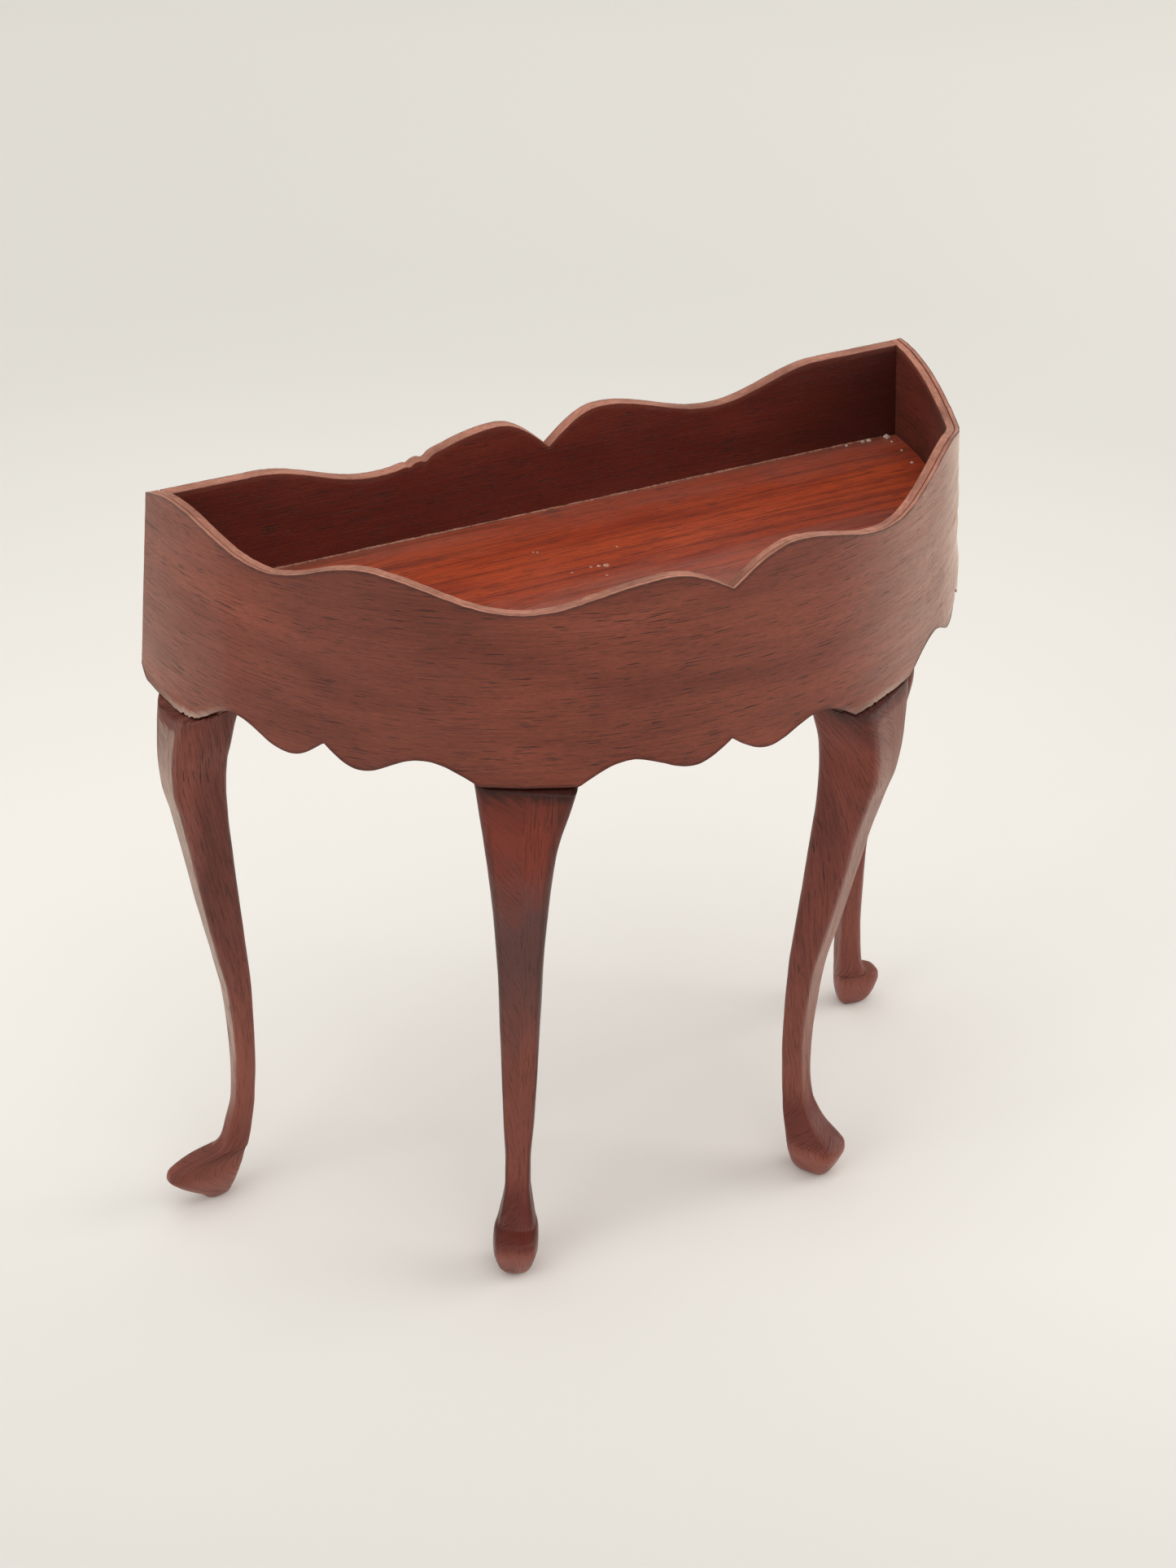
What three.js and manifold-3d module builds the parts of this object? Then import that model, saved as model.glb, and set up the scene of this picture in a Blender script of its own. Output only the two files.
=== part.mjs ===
// Miniature demilune dressing table, dolls' house scale (1:12).
// Units are millimetres and +Z is up. The table stands on z = 0, its straight back faces +Y,
// and the origin is on the floor under the middle of its bounding box.
import * as THREE from 'three';
import { mergeVertices } from 'three/addons/utils/BufferGeometryUtils.js';
import Module from 'manifold-3d';

const wasm = await Module();
wasm.setup();

// ---- driving dimensions -------------------------------------------------------------------

const width = 76;              // across the two back corners, at corner height
const depth = 33.8;            // back face to the middle of the front, at corner height
const cornerHeight = 71.5;     // floor to the top of each back corner
const planPower = 2.07;        // exponent of the half super-ellipse that the front follows
const flarePerMm = 0.00192;    // growth of the plan for each millimetre below the corners

const veneerThickness = 0.45;  // outer ply of the bent front
const coreThickness = 0.7;     // inner ply of the bent front
const glueLine = 0.1;          // clearance between pieces that are glued face to face
const panelThickness = 1.2;    // straight back panel
const floorTop = 62.2;         // height of the tray floor's upper face
const floorThickness = 1.6;

const bandSteps = 120;         // even stations along the bent front
const panelSteps = 72;         // stations along the back panel's wavy top
const legSides = 16;           // sides of a leg's section

const shoulderHeight = 53.6;   // where a leg's knee stops, just under the front's lower edge
const shoulderStep = 0.05;     // height over which the knee steps back to its post
const postGap = 0.15;          // between a leg's post and the tray floor above it
const postTop = floorTop - floorThickness - postGap;
const postClearance = 0.2;     // between a leg's post and the ply in front of it
const pegRadius = 0.75;
const pegClearance = 0.1;
const pegInPost = 4;           // length of a peg inside the leg's post
const pegInFloor = 1;          // length of a peg inside the tray floor

const frontWall = veneerThickness + glueLine + coreThickness;
const panelDrop = 16.9;        // corner height to the bottom of the back panel
const floorCornerTrim = 0.3;   // the tray floor's curve starts this far in front of its back edge
const pegSides = 16;

// Fineness of the curve calculations.
const planDivisions = 2000;
const tangentStep = 0.002;
const bisections = 40;
const nearlyZero = 1e-6;
const sameVertex = 1e-4;

// Edge outlines are lists of [place, height, kind]. Place runs along the edge, and height is
// measured from corner height. The line is level at a 'round' point and kinks at a 'sharp' one.
const rimLeftHalf = [
  [0, 0, 'sharp'],
  [0.045, 1.1, 'round'],
  [0.145, -1.05, 'round'],
  [0.222, 1.05, 'round'],
  [0.339, -1.85, 'round'],
  [0.45, 0.4, 'round'],
  [0.5, -1.75, 'sharp'],
];
const rimRightHalf = [
  [0.552, 1.05, 'round'],
  [0.661, -1.4, 'round'],
  [0.765, 1.15, 'round'],
  [0.885, -1.85, 'round'],
  [1, 0, 'round'],
];
const skirtHalf = [
  [0, -16.2, 'sharp'],
  [0.013, -17.3, 'round'],
  [0.068, -17.7, 'round'],
  [0.12, -14.9, 'round'],
  [0.17, -16.7, 'round'],
  [0.198, -15, 'sharp'],
  [0.227, -16.8, 'round'],
  [0.269, -15.2, 'round'],
  [0.312, -17.3, 'sharp'],
  [0.383, -17.6, 'sharp'],
  [0.421, -15.6, 'round'],
  [0.469, -17.15, 'round'],
  [0.5, -15.45, 'sharp'],
];
const panelHalf = [
  [0, -3, 'sharp'],
  [5.3, 0, 'round'],
  [17.6, -2.4, 'round'],
  [29.3, 0, 'round'],
  [38, 0, 'round'],
];
const panelBottom = cornerHeight - panelDrop;

// A leg above its foot. Each row is [height, middle, half depth, half width]: the section is a
// super-ellipse, and its middle is measured outwards from under the knee.
const legProfile = [
  [10.5, -3.65, 1.12, 1.13],
  [14.5, -3.8, 1.1, 1.35],
  [19, -3.65, 1.18, 1.54],
  [23, -3.35, 1.32, 1.67],
  [27, -2.75, 1.6, 1.78],
  [31, -2.1, 1.86, 1.88],
  [35, -1.48, 2.06, 2.05],
  [39, -0.88, 2.25, 2.28],
  [43, -0.17, 2.58, 2.57],
  [46, 0.27, 2.92, 2.85],
  [49, 0.36, 3.04, 3.3],
  [51.8, 0.11, 3.16, 3.95],
  [shoulderHeight, -0.31, 3.34, 4.4],
];
const kneeStart = 38;          // heights where the knee starts and where it is widest
const kneeWidest = 45;
const leanStart = 47;          // height where the knee starts to lean
const postRows = 4;            // extra sections up the post behind the front

// Squareness of the sections: 2 is an ellipse, and a large number is a rectangle.
const footPower = 2.6;
const legPower = 3.2;
const postPower = 8;

// Feet from the sole up. Each row is [height, heel, toe, half width], heel and toe measured
// outwards from under the knee. The toe's top is a ledge in front of the instep.
const padFoot = [
  [0, -2.4, 0, 0.8],
  [0.3, -2.8, 0.5, 1.15],
  [1, -3.2, 1, 1.6],
  [2, -3.5, 1.45, 1.92],
  [3, -3.75, 1.7, 2.1],
  [3.8, -3.9, 1.75, 2.08],
  [4.25, -4, 1.5, 2],
  [4.45, -4.03, 0.9, 1.9],
  [4.6, -4.06, -0.3, 1.8],
  [5.4, -4.2, -1, 1.6],
  [6.6, -4.38, -1.6, 1.35],
  [8, -4.55, -2.15, 1.17],
];

// The right front foot slopes down to its toe.
const slopedFoot = [
  [0, -2.4, 0, 0.8],
  [0.3, -2.8, 0.5, 1.15],
  [1, -3.2, 1, 1.6],
  [2, -3.5, 1.45, 1.92],
  [2.8, -3.7, 1.7, 2.08],
  [3.4, -3.83, 1.62, 2.08],
  [4, -3.94, 1.05, 2],
  [4.6, -4.06, 0.3, 1.85],
  [5.4, -4.2, -0.6, 1.62],
  [6.6, -4.38, -1.5, 1.38],
  [8, -4.55, -2.1, 1.2],
];

const pointedFoot = [
  [0, -1.4, 0.3, 0.4],
  [0.3, -1.7, 0.7, 0.7],
  [1, -2, 1.4, 1.05],
  [2, -2.45, 2.75, 1.4],
  [3, -2.9, 3.95, 1.55],
  [3.8, -3.3, 4.6, 1.5],
  [4.4, -3.48, 4.45, 1.45],
  [4.75, -3.6, 3.8, 1.4],
  [5, -3.68, 2.6, 1.35],
  [5.15, -3.73, 0.8, 1.3],
  [5.3, -3.77, -0.4, 1.25],
  [6.2, -3.98, -1.35, 1.1],
  [8, -4.3, -1.95, 1.02],
];
const shortFoot = [
  [0, -3.9, -1.6, 0.75],
  [0.3, -4.15, -1.2, 1.05],
  [1, -4.4, -0.7, 1.4],
  [2, -4.6, -0.3, 1.6],
  [3, -4.7, -0.05, 1.65],
  [3.5, -4.72, -0.1, 1.6],
  [3.8, -4.74, -0.5, 1.55],
  [4, -4.75, -1.5, 1.45],
  [4.8, -4.78, -1.95, 1.3],
  [6.4, -4.82, -2.25, 1.2],
  [8, -4.85, -2.4, 1.15],
  [12, -4.98, -2.65, 1.25],
  [16, -4.95, -2.72, 1.33],
];

// The back legs are slimmer and aim sideways; the front legs aim forwards. kneeX and kneeY are
// level distances from the middle of the back face, and aim is in degrees from sideways. spread
// is how much wider than the knee each side of the post becomes, lean is how far the top of the
// knee shifts towards the middle of the front, and tuck is how far its outward side is cut back.
const backLeg = { kneeX: 37.2, kneeY: -6.1, aim: 8, bulk: 0.87, spread: 0.55, lean: 0.4 };
const frontLeg = { kneeX: 16.7, kneeY: -28.95, aim: 60, bulk: 1, spread: 0.7, lean: 0.25 };
const legs = [
  { name: 'back_left', side: 1, ...backLeg, tuck: 0.25, foot: pointedFoot },
  { name: 'front_left', side: 1, ...frontLeg, tuck: 0, foot: padFoot },
  { name: 'front_right', side: -1, ...frontLeg, tuck: 0, foot: slopedFoot },
  { name: 'back_right', side: -1, ...backLeg, bulk: 0.8, lean: 0, tuck: 2.1, foot: shortFoot },
];

// ---- materials ----------------------------------------------------------------------------

const finish = (colour, roughness) =>
  new THREE.MeshStandardMaterial({ color: colour, roughness, metalness: 0 });

const frontFinish = finish(0x734134, 0.42);
const coreFinish = finish(0x9a6553, 0.7);
const panelFinish = finish(0x5a2a22, 0.45);
const trayFinish = finish(0x8c3723, 0.4);
const legFinish = finish(0x6e3c30, 0.38);
const pegFinish = finish(0xc9a678, 0.8);

// ---- outline helpers ----------------------------------------------------------------------

const mirrored = (points, total) =>
  points.map(([place, height, kind]) => [total - place, height, kind]).reverse();

// Height of a wavy edge: half a cosine between level points, a quarter beside a kink.
function edgeHeight(points, place) {
  let i = 0;
  while (i < points.length - 2 && place > points[i + 1][0]) {
    i += 1;
  }
  const [from, low, kindA] = points[i];
  const [to, high, kindB] = points[i + 1];
  const t = THREE.MathUtils.clamp((place - from) / (to - from), 0, 1);
  let blend = t;
  if (kindA === 'round' && kindB === 'round') {
    blend = (1 - Math.cos(Math.PI * t)) / 2;
  } else if (kindA === 'round') {
    blend = 1 - Math.cos(Math.PI * t / 2);
  } else if (kindB === 'round') {
    blend = Math.sin(Math.PI * t / 2);
  }
  return low + (high - low) * blend;
}

const rim = [...rimLeftHalf, ...rimRightHalf];
const skirt = [...skirtHalf, ...mirrored(skirtHalf.slice(0, -1), 1)];
const panelTop = [...mirrored(panelHalf.slice(1), 0), ...panelHalf];

const planScale = (z) => 1 + flarePerMm * (cornerHeight - z);

// The plan of the front at corner height, from the left back corner to the right one.
class FrontPlan extends THREE.Curve {
  getPoint(t, target = new THREE.Vector3()) {
    const angle = Math.PI * t;
    const across = Math.cos(angle);
    const x = -Math.sign(across) * Math.abs(across) ** (2 / planPower);
    const y = -(Math.abs(Math.sin(angle)) ** (2 / planPower));
    return target.set(x * width / 2, y * depth, 0);
  }
}

const plan = new FrontPlan();
plan.arcLengthDivisions = planDivisions;

// A point of the front at a fraction of its length, set in from its outer face.
function frontPoint(along, z, inset) {
  const point = plan.getPointAt(along).multiplyScalar(planScale(z));
  const tangent = along < 0.5 ? sideTangent(along) : sideTangent(1 - along);
  if (along > 0.5) {
    tangent.y *= -1;
  }
  const inward = new THREE.Vector3(-tangent.y, tangent.x, 0);
  point.addScaledVector(inward, inset);
  point.y = Math.min(point.y, 0);
  point.z = z;
  return point;
}

// Direction of travel along the left half of the front. It leaves the back at a right angle.
function sideTangent(along) {
  if (along < nearlyZero) {
    return new THREE.Vector3(0, -1, 0);
  }
  const step = Math.min(along, tangentStep);
  const ahead = plan.getPointAt(along + step);
  return ahead.sub(plan.getPointAt(along - step)).normalize();
}

// Distance from a point inside the front to its outer face, in a level direction.
function reachToFront(start, direction, z) {
  const halfWidth = width / 2 * planScale(z);
  const fullDepth = depth * planScale(z);
  let near = 0;
  let far = width;
  for (let i = 0; i < bisections; i += 1) {
    const middle = (near + far) / 2;
    const x = Math.abs(start.x + direction.x * middle) / halfWidth;
    const y = Math.abs(Math.min(0, start.y + direction.y * middle)) / fullDepth;
    if (x ** planPower + y ** planPower < 1) {
      near = middle;
    } else {
      far = middle;
    }
  }
  return near;
}

// ---- solids -------------------------------------------------------------------------------

function moveVertices(geometry, place) {
  const position = geometry.getAttribute('position');
  const vertex = new THREE.Vector3();
  for (let i = 0; i < position.count; i += 1) {
    vertex.fromBufferAttribute(position, i);
    const moved = place(vertex);
    position.setXYZ(i, moved.x, moved.y, moved.z);
  }
  geometry.computeVertexNormals();
  return geometry;
}

function toManifold(geometry) {
  const bare = new THREE.BufferGeometry();
  bare.setAttribute('position', geometry.getAttribute('position').clone());
  bare.setIndex(geometry.getIndex());
  const merged = mergeVertices(bare, sameVertex);
  return new wasm.Manifold(new wasm.Mesh({
    numProp: 3,
    vertProperties: new Float32Array(merged.getAttribute('position').array),
    triVerts: new Uint32Array(merged.getIndex().array),
  }));
}

function fromManifold(solid) {
  const mesh = solid.getMesh();
  const geometry = new THREE.BufferGeometry();
  geometry.setAttribute('position', new THREE.BufferAttribute(mesh.vertProperties, 3));
  geometry.setIndex(new THREE.BufferAttribute(mesh.triVerts, 1));
  geometry.computeVertexNormals();
  return geometry;
}

// A blind hole for each peg, cut from a solid.
function drill(geometry, tools) {
  const cut = tools.reduce((solid, tool) => solid.subtract(toManifold(tool)), toManifold(geometry));
  return fromManifold(cut);
}

function uprightCylinder(radius, bottom, top, x, y) {
  const geometry = new THREE.CylinderGeometry(radius, radius, top - bottom, pegSides);
  geometry.rotateX(Math.PI / 2);
  geometry.translate(x, y, (top + bottom) / 2);
  return geometry;
}

// One ply of the bent front, between two distances in from the outer face.
function frontPly(outerInset, innerInset) {
  const even = Array.from({ length: bandSteps + 1 }, (_, i) => i / bandSteps);
  const kinks = [...rim, ...skirt].map(([place]) => place);
  const closest = 0.25 / bandSteps;
  const stations = [...kinks, ...even]
    .filter((place, i, all) => all.findIndex((other) => Math.abs(other - place) < closest) === i)
    .sort((a, b) => a - b);
  const steps = stations.length - 1;
  const geometry = new THREE.BoxGeometry(steps, 1, 1, steps, 1, 1);
  return moveVertices(geometry, (vertex) => {
    const along = stations[Math.round(vertex.x + steps / 2)];
    const edge = vertex.y > 0 ? rim : skirt;
    const inset = vertex.z > 0 ? outerInset : innerInset;
    return frontPoint(along, cornerHeight + edgeHeight(edge, along), inset);
  });
}

// The back panel fits between the ends of the bent front, so it widens downwards too.
function backPanel() {
  const halfAt = (z) => width / 2 * planScale(z) - frontWall - glueLine;
  const outline = new THREE.Shape();
  outline.moveTo(-halfAt(panelBottom), panelBottom);
  outline.lineTo(halfAt(panelBottom), panelBottom);
  const kinks = panelTop.map(([place]) => place);
  const half = halfAt(cornerHeight);
  const even = Array.from({ length: panelSteps + 1 }, (_, i) => half - 2 * half * i / panelSteps);
  const closest = half / panelSteps / 2;
  [...kinks, ...even]
    .filter((x, i, all) => all.findIndex((other) => Math.abs(other - x) < closest) === i)
    .filter((x) => Math.abs(x) <= half)
    .sort((a, b) => b - a)
    .forEach((x) => outline.lineTo(x, cornerHeight + edgeHeight(panelTop, x)));
  const geometry = new THREE.ExtrudeGeometry(outline, { depth: panelThickness, bevelEnabled: false });
  geometry.rotateX(Math.PI / 2);
  return geometry;
}

// The tray floor is half an ellipse, glued inside the front and against the back panel.
function trayFloor() {
  const inset = frontWall + glueLine;
  const backEdge = -(panelThickness + glueLine);
  const outline = new THREE.Shape();
  for (let i = 0; i <= bandSteps; i += 1) {
    const point = frontPoint(i / bandSteps, floorTop, inset);
    if (i === 0) {
      outline.moveTo(point.x, backEdge);
    }
    if (point.y < backEdge - floorCornerTrim) {
      outline.lineTo(point.x, point.y);
    }
    if (i === bandSteps) {
      outline.lineTo(point.x, backEdge);
    }
  }
  const geometry = new THREE.ExtrudeGeometry(outline, { depth: floorThickness, bevelEnabled: false });
  geometry.translate(0, 0, floorTop - floorThickness);
  return geometry;
}

// Where a leg stands: the point under its knee, and the level directions out and across.
function legPlace(leg) {
  const aim = THREE.MathUtils.degToRad(leg.aim);
  const knee = new THREE.Vector3(-leg.side * leg.kneeX, leg.kneeY, 0);
  const out = new THREE.Vector3(-leg.side * Math.cos(aim), -Math.sin(aim), 0);
  const across = new THREE.Vector3(-out.y, out.x, 0);
  return { knee, out, across };
}

// The sections of one leg: its foot, its shaft and its post behind the front.
function legRows(leg) {
  const rows = leg.foot.map(([z, heel, toe, halfWidth]) => (
    { z, middle: (heel + toe) / 2, halfDepth: (toe - heel) / 2, halfWidth, power: footPower }
  ));
  const ankle = rows[rows.length - 1].z;
  for (const [z, middle, halfDepth, halfWidth] of legProfile.filter(([height]) => height > ankle)) {
    const cut = leg.tuck / 2 * THREE.MathUtils.smoothstep(z, kneeStart, kneeWidest);
    rows.push({
      z,
      middle: middle - cut,
      halfDepth: halfDepth * leg.bulk - cut,
      halfWidth: halfWidth * leg.bulk,
      power: legPower,
    });
  }
  const knee = rows[rows.length - 1];
  const rise = (postTop - shoulderHeight) / postRows;
  for (let i = 0; i <= postRows; i += 1) {
    const z = shoulderHeight + rise * i + (i === 0 ? shoulderStep : 0);
    const halfWidth = knee.halfWidth + leg.spread * Math.min(1, 2 * i / postRows);
    rows.push({ ...knee, z, halfWidth, power: postPower, trimmed: true });
  }
  return rows;
}

// Turns a coordinate on the unit circle into one on a super-ellipse.
function superRound(value, power) {
  return Math.abs(value) < nearlyZero ? 0 : Math.sign(value) * Math.abs(value) ** (2 / power);
}

// A leg is a tube of sections. The post's outer face is trimmed to the curve of the front.
function legSolid(leg) {
  const { knee, out, across } = legPlace(leg);
  const rows = legRows(leg);
  const steps = rows.length - 1;
  const geometry = new THREE.CylinderGeometry(1, 1, steps, legSides, steps);
  moveVertices(geometry, (vertex) => {
    const row = rows[Math.round(vertex.y + steps / 2)];
    const lean = leg.side * leg.lean * THREE.MathUtils.smoothstep(row.z, leanStart, shoulderHeight);
    const sideways = superRound(vertex.x, row.power) * row.halfWidth + lean;
    let outwards = row.middle + superRound(vertex.z, row.power) * row.halfDepth;
    if (row.trimmed) {
      const start = knee.clone().addScaledVector(across, sideways);
      const limit = reachToFront(start, out, row.z) - frontWall - postClearance;
      outwards = Math.min(outwards, limit);
    }
    const point = knee.clone().addScaledVector(out, outwards).addScaledVector(across, sideways);
    point.z = row.z;
    return point;
  });
  return geometry;
}

// ---- assembly -----------------------------------------------------------------------------

const [, kneeMiddle, kneeHalfDepth] = legProfile[legProfile.length - 1];

// A leg's peg stands in the middle of its post.
function pegPlace(leg) {
  const { knee, out } = legPlace(leg);
  const limit = reachToFront(knee, out, postTop) - frontWall - postClearance;
  const inner = kneeMiddle - kneeHalfDepth * leg.bulk;
  return knee.clone().addScaledVector(out, (limit + inner) / 2);
}

const pegBottom = postTop - pegInPost;
const pegEnd = floorTop - floorThickness + pegInFloor;

const pegHole = (place) => {
  const radius = pegRadius + pegClearance;
  return uprightCylinder(radius, pegBottom - pegClearance, pegEnd + pegClearance, place.x, place.y);
};

const table = new THREE.Group();

function addPiece(name, geometry, material) {
  const mesh = new THREE.Mesh(geometry, material);
  mesh.name = name;
  table.add(mesh);
}

addPiece('back_panel', backPanel(), panelFinish);
addPiece('front_band_outer_ply', frontPly(0, veneerThickness), frontFinish);
addPiece('front_band_inner_ply', frontPly(veneerThickness + glueLine, frontWall), coreFinish);
addPiece('tray_floor', drill(trayFloor(), legs.map((leg) => pegHole(pegPlace(leg)))), trayFinish);

for (const leg of legs) {
  const place = pegPlace(leg);
  addPiece(`leg_${leg.name}`, drill(legSolid(leg), [pegHole(place)]), legFinish);
  addPiece(`peg_${leg.name}`, uprightCylinder(pegRadius, pegBottom, pegEnd, place.x, place.y), pegFinish);
}

// Put the origin on the floor, under the middle of the bounding box.
const box = new THREE.Box3().setFromObject(table);
const middle = box.getCenter(new THREE.Vector3());
table.position.set(-middle.x, -middle.y, -box.min.z);

const root = new THREE.Group();
root.add(table);

export default root;
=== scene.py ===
"""Looks of the miniature dressing table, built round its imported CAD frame.

Shapes are worked out in millimetres, from the floor under the middle of the back panel's outer
face, and turned into metres when a mesh is made. s is a place along an edge: from 0 to 1 round
the bent front, left to right, and in mm from the middle along the back panel.
"""

import bisect
import math

import bmesh
import bpy
from mathutils import Matrix, Vector, noise


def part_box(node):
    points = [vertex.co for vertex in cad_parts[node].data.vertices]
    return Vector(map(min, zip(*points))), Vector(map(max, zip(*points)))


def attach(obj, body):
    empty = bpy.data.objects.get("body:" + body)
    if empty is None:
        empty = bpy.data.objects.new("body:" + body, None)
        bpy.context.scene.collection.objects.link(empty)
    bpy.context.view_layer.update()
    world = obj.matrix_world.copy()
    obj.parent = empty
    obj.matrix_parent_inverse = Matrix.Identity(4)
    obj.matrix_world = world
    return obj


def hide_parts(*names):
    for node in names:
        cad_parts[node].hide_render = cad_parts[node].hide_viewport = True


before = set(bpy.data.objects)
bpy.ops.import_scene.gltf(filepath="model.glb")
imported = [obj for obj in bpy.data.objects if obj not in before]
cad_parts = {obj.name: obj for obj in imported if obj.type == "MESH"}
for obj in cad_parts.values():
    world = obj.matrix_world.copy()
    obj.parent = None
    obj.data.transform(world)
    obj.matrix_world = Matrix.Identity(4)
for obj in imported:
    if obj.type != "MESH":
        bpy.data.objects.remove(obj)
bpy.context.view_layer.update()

MM = 0.001

# ---- sizes and outlines in mm ----------------------------------------------------------------

panel_low, panel_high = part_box("back_panel")
tray_low, tray_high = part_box("tray_floor")
CENTRE_X = (panel_low[0] + panel_high[0]) / 2 / MM
BACK_Y = panel_high[1] / MM
PANEL_BOTTOM = panel_low[2] / MM
PANEL_DROP = 16.9  # from the back corners down to the back panel's lower edge
CORNER = PANEL_BOTTOM + PANEL_DROP
TRAY_TOP = tray_high[2] / MM
TRAY_UNDER = tray_low[2] / MM
TRAY_MIDDLE = (tray_low[1] + tray_high[1]) / 2 / MM

# The front is half a superellipse in plan, and widens downwards from the back corners.
WIDTH = 76
DEPTH = 33.8
PLAN_POWER = 2.07
FLARE = 0.00192  # share of the plan's size, for each mm down
OUTER_PLY = 0.49  # how far in the outer ply's inner face is
INNER_PLY = 0.51  # how far in the inner ply's outer face is
WALL = 1.25  # both plies
PANEL = 1.2
GLUE = 0.1  # between the back panel's ends and the front
EDGE_BEVEL = 0.07

SHOULDER = 53.6  # top of a knee, before it is fitted under the front's lower edge
SHOULDER_BEVEL = 0.14
POST_TOP = TRAY_UNDER - 0.15
POST_CLEARANCE = 0.2

# Edge outlines: (place along the edge, height from the back corners, kind of point). The
# front's lower edge, or skirt, and the panel's top edge are the same on both sides.
RIM_LEFT = [
    (0, 0, "sharp"), (0.045, 1.1, "round"), (0.145, -1.05, "round"), (0.222, 1.05, "round"),
    (0.339, -1.85, "round"), (0.45, 0.4, "round"), (0.5, -1.75, "sharp"),
]
RIM_RIGHT = [
    (0.552, 1.05, "round"), (0.661, -1.4, "round"), (0.765, 1.15, "round"),
    (0.885, -1.85, "round"), (1, 0, "round"),
]
SKIRT_HALF = [
    (0, -16.2, "sharp"), (0.013, -17.3, "round"), (0.068, -17.7, "round"),
    (0.12, -14.9, "round"), (0.17, -16.7, "round"), (0.198, -15, "sharp"),
    (0.227, -16.8, "round"), (0.269, -15.2, "round"), (0.312, -17.3, "sharp"),
    (0.383, -17.6, "sharp"), (0.421, -15.6, "round"), (0.469, -17.15, "round"),
    (0.5, -15.45, "sharp"),
]
PANEL_HALF = [
    (0, -3, "sharp"), (5.3, 0, "round"), (17.6, -2.4, "round"), (29.3, 0, "round"),
    (38, 0, "round"),
]

# A leg above its foot: height, middle outwards from under the knee, half depth, half width.
LEG_PROFILE = [
    (10.5, -3.65, 1.12, 1.13), (14.5, -3.8, 1.1, 1.35), (19, -3.65, 1.18, 1.54),
    (23, -3.35, 1.32, 1.67), (27, -2.75, 1.6, 1.78), (31, -2.1, 1.86, 1.88),
    (35, -1.48, 2.06, 2.05), (39, -0.88, 2.25, 2.28), (43, -0.17, 2.58, 2.57),
    (46, 0.27, 2.92, 2.85), (49, 0.36, 3.04, 3.3), (51.8, 0.11, 3.16, 3.95),
    (SHOULDER, -0.31, 3.34, 4.4),
]

# Feet from the sole up: height, heel, toe, half width.
PAD_FOOT = [
    (0, -2.4, 0, 0.8), (0.3, -2.8, 0.5, 1.15), (1, -3.2, 1, 1.6), (2, -3.5, 1.45, 1.92),
    (3, -3.75, 1.7, 2.1), (3.8, -3.9, 1.75, 2.08), (4.25, -4, 1.5, 2), (4.45, -4.03, 0.9, 1.9),
    (4.6, -4.06, -0.3, 1.8), (5.4, -4.2, -1, 1.6), (6.6, -4.38, -1.6, 1.35),
    (8, -4.55, -2.15, 1.17),
]
POINTED_FOOT = [
    (0, -1.4, 0.3, 0.4), (0.3, -1.7, 0.7, 0.7), (1, -2, 1.4, 1.05), (2, -2.45, 2.75, 1.4),
    (3, -2.9, 3.95, 1.55), (3.8, -3.3, 4.6, 1.5), (4.4, -3.48, 4.45, 1.45),
    (4.75, -3.6, 3.8, 1.4), (5, -3.68, 2.6, 1.35), (5.15, -3.73, 0.8, 1.3),
    (5.3, -3.77, -0.4, 1.25), (6.2, -3.98, -1.35, 1.1), (8, -4.3, -1.95, 1.02),
]
SLOPED_FOOT = [
    (0, -2.4, 0, 0.8), (0.3, -2.8, 0.5, 1.15), (1, -3.2, 1, 1.6), (2, -3.5, 1.45, 1.92),
    (2.8, -3.7, 1.7, 2.08), (3.4, -3.83, 1.62, 2.08), (4, -3.94, 1.05, 2),
    (4.6, -4.06, 0.3, 1.85), (5.4, -4.2, -0.6, 1.62), (6.6, -4.38, -1.5, 1.38),
    (8, -4.55, -2.1, 1.2),
]
# The short foot's rows go on up the ankle, a little further in than the other legs'.
SHORT_FOOT = [
    (0, -3.9, -1.6, 0.75), (0.3, -4.15, -1.2, 1.05), (1, -4.4, -0.7, 1.4), (2, -4.6, -0.3, 1.6),
    (3, -4.7, -0.05, 1.65), (3.5, -4.72, -0.1, 1.6), (3.8, -4.74, -0.5, 1.55),
    (4, -4.75, -1.5, 1.45), (4.8, -4.78, -1.95, 1.3), (6.4, -4.82, -2.25, 1.2),
    (8, -4.85, -2.4, 1.15), (12, -4.98, -2.65, 1.25), (16, -4.95, -2.72, 1.33),
]

# Shape of a leg: knee is its middle, on the left side, and side is -1 for the right. aim is in
# degrees from sideways to forwards. bulk scales the profile, chamfer cuts the outward corners,
# lean moves the knee's top sideways, tuck draws the knee in, spread widens the post, and gap is
# the joint over the knee.
# Looks of a leg: light, strip and arris are the colours of its stain, of its pale outward face
# and of its corners, in sRGB levels. The pale outward face is partly rubbed and partly a
# painted reflection, and a dark arris is a painted shade line. rubbed_and_shaded_amount says
# how strongly the corners take the arris colour, and pale, dark, warm, flank_shade, instep and
# joint_shade how strong each tone in leg_tones is; flank_shade and joint_shade are painted shade.
BACK_LEG = {"knee": (37.2, -6.1), "aim": 8, "spread": 0.55}
FRONT_LEG = {
    "knee": (16.7, -28.95), "aim": 60, "spread": 0.7, "bulk": 1, "lean": 0.25, "tuck": 0,
}
PALE_ARRIS = {"arris": (160, 112, 94), "rubbed_and_shaded_amount": 0.12}
# A dark arris is a painted shade line along a leg's corners.
SHADED_ARRIS = {"arris": (74, 36, 30), "rubbed_and_shaded_amount": 0.55}
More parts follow.
